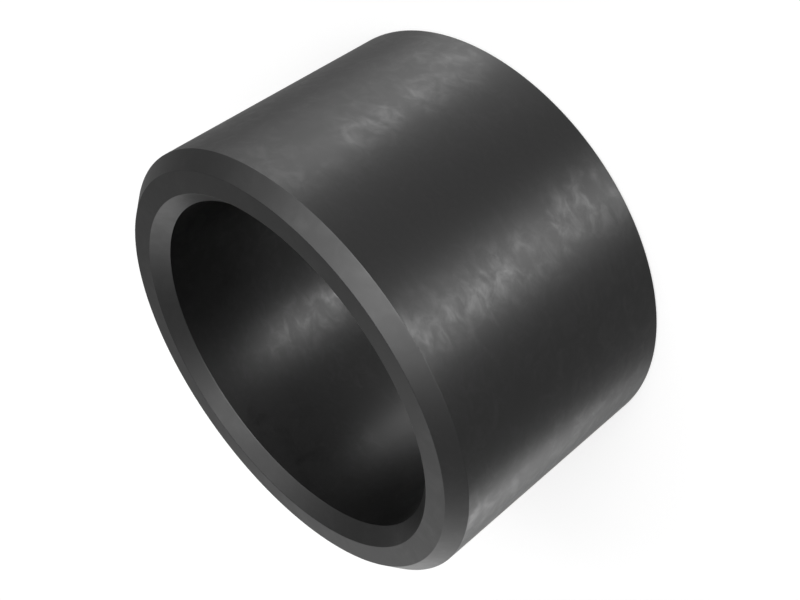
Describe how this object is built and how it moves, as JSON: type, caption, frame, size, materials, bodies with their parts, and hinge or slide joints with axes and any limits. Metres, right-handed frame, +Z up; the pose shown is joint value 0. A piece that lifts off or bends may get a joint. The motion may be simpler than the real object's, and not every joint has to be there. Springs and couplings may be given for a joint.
{
  "type": "plain bushing",
  "caption": "Plain cylindrical bushing: a thick-walled turned ring with a smooth bore, a lead-in chamfer outside one end and chamfered bore mouths.",
  "frame": {"origin": "centre of the bottom end face, the plain end that the ring stands on", "axes": "+Z up along the bore axis, towards the end with the lead-in chamfer; X and Y are any two level directions, since the ring is round"},
  "size_m": [0.0635, 0.0634, 0.0381],
  "materials": {
    "blackened_steel": "black oxide over a turned surface, satin, faintly mottled"
  },
  "bodies": {
    "root": {"bushing": "blackened_steel"}
  },
  "joints": []
}
